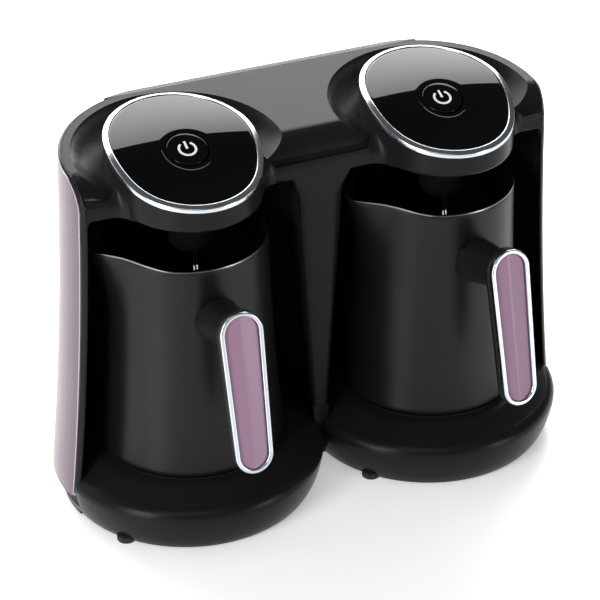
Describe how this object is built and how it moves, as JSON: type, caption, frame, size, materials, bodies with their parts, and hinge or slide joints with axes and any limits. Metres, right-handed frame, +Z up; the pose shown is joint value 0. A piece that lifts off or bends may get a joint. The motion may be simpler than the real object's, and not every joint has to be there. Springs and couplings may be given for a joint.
{
  "type": "electric turkish coffee maker",
  "caption": "Twin electric coffee maker with lift-off pots standing side by side in niches, under oval heads with push buttons.",
  "frame": {"origin": "middle of the bounding box in plan, on the surface the feet stand on", "axes": "+X to the right across the two units, +Y to the rear, +Z up; the handles point to -Y"},
  "size_m": [0.284, 0.1566, 0.2081],
  "materials": {
    "black_plastic": "satin black, fine grain",
    "lilac_plastic": "satin lilac",
    "chromed_plastic": "satin chrome plating on plastic",
    "gloss_black": "polished black",
    "smoked_plastic": "smooth dark",
    "clear_guide": "frosted clear",
    "coated_aluminium": "satin black non-stick coating",
    "heater_aluminium": "cast",
    "screw_steel": "zinc plated",
    "contact_brass": "plated",
    "connector_plastic": "heat-proof black",
    "circuit_board": "green solder mask",
    "board_part_plastic": "moulded",
    "silicone": "translucent silicone",
    "rubber": "matte"
  },
  "bodies": {
    "housing": {"front_shell": "black_plastic", "rear_cover": "black_plastic", "cover_screws": "screw_steel", "base_tray": "black_plastic", "bottom_plate": "black_plastic", "plate_screws": "screw_steel", "rubber_feet": "rubber", "cord_gland": "rubber", "power_board": "circuit_board", "board_parts": "board_part_plastic", "board_screws": "screw_steel", "left_panel": "lilac_plastic", "left_head_shell": "black_plastic", "left_head_cover": "black_plastic", "left_head_ring": "chromed_plastic", "left_head_glass": "gloss_black", "left_button_dome": "silicone", "left_switch_board": "circuit_board", "left_sensor_hood": "smoked_plastic", "left_sensor_guides": "clear_guide", "left_seat_plate": "black_plastic", "left_base_connector": "connector_plastic", "left_base_contacts": "contact_brass", "right_panel": "lilac_plastic", "right_head_shell": "black_plastic", "right_head_cover": "black_plastic", "right_head_ring": "chromed_plastic", "right_head_glass": "gloss_black", "right_button_dome": "silicone", "right_switch_board": "circuit_board", "right_sensor_hood": "smoked_plastic", "right_sensor_guides": "clear_guide", "right_seat_plate": "black_plastic", "right_base_connector": "connector_plastic", "right_base_contacts": "contact_brass"},
    "left_pot": {"left_pot_body": "coated_aluminium", "left_pot_base": "black_plastic", "left_heater": "heater_aluminium", "left_pot_connector": "connector_plastic", "left_handle_core": "black_plastic", "left_handle_frame": "chromed_plastic", "left_handle_inlay": "lilac_plastic", "left_handle_screw": "screw_steel"},
    "left_button": {"left_power_button": "gloss_black"},
    "right_pot": {"right_pot_body": "coated_aluminium", "right_pot_base": "black_plastic", "right_heater": "heater_aluminium", "right_pot_connector": "connector_plastic", "right_handle_core": "black_plastic", "right_handle_frame": "chromed_plastic", "right_handle_inlay": "lilac_plastic", "right_handle_screw": "screw_steel"},
    "right_button": {"right_power_button": "gloss_black"}
  },
  "joints": [
    {"name": "left_pot_lift", "type": "slide", "parent": "housing", "child": "left_pot", "axis": [0, 0, 1], "range_m": [0, 0.012]},
    {"name": "left_button_press", "type": "slide", "parent": "housing", "child": "left_button", "axis": [0, 0, -1], "range_m": [0, 0.0008], "stiffness_N_per_m": 1500, "deforming": ["left_button_dome"]},
    {"name": "right_pot_lift", "type": "slide", "parent": "housing", "child": "right_pot", "axis": [0, 0, 1], "range_m": [0, 0.012]},
    {"name": "right_button_press", "type": "slide", "parent": "housing", "child": "right_button", "axis": [0, 0, -1], "range_m": [0, 0.0008], "stiffness_N_per_m": 1500, "deforming": ["right_button_dome"]}
  ]
}
